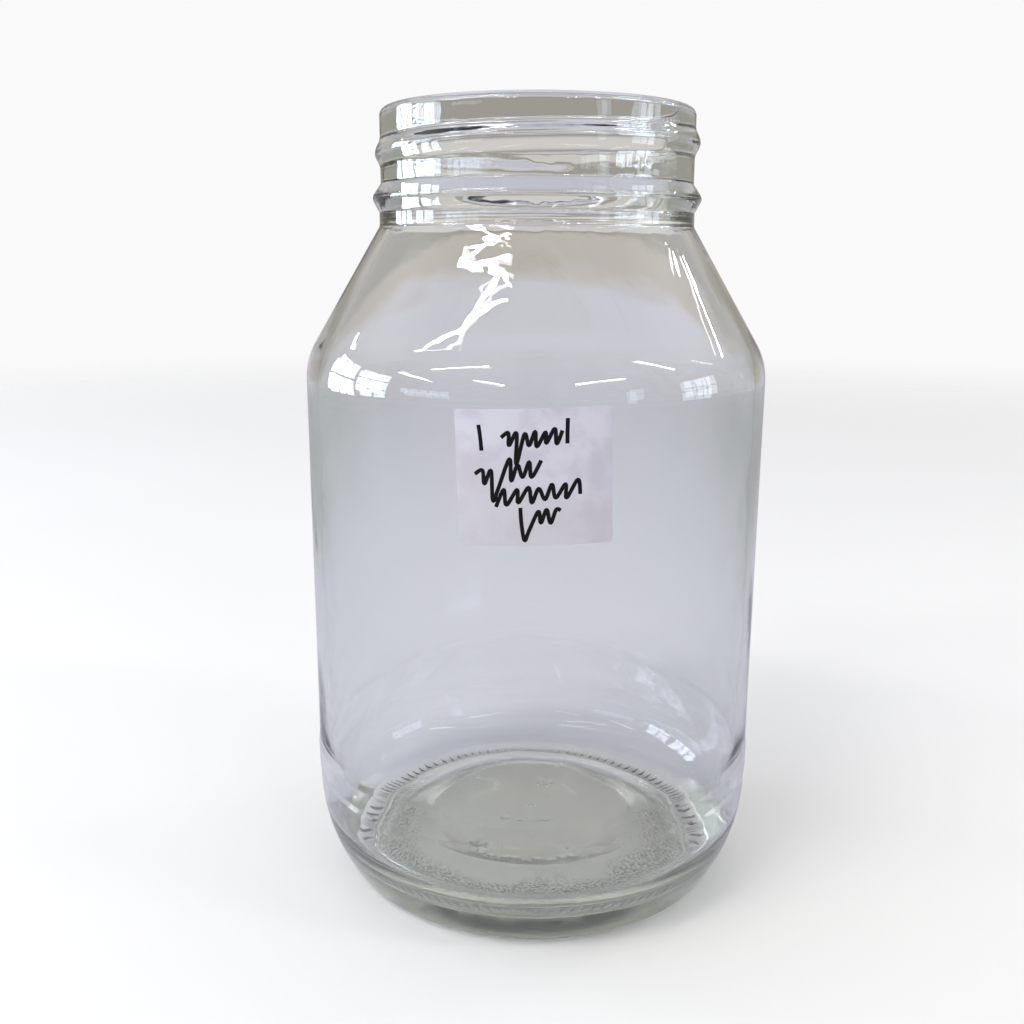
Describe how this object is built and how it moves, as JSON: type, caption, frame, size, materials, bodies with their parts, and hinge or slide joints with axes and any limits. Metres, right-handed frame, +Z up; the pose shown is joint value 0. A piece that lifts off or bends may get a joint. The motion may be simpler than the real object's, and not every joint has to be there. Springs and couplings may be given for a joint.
{
  "type": "glass jar",
  "caption": "Wide-mouth clear glass storage jar with an external screw thread, sloping shoulder, straight body, rounded heel and a small wrapped paper label on the front.",
  "frame": {"origin": "middle of the standing ring, on the plane that the jar rests on", "axes": "+Z up along the jar's axis to the rim, -Y out through the middle of the label"},
  "size_m": [0.102, 0.102, 0.172],
  "materials": {
    "clear_glass": "fire-polished soda-lime container glass, faint grey-green tint in its thickness",
    "label_adhesive": "dried pressure-sensitive adhesive film",
    "label_paper": "uncoated white label paper",
    "pen_ink": "black felt-pen ink on the label"
  },
  "bodies": {
    "root": {"jar": "clear_glass", "label_adhesive": "label_adhesive", "label_paper": "label_paper"}
  },
  "joints": []
}
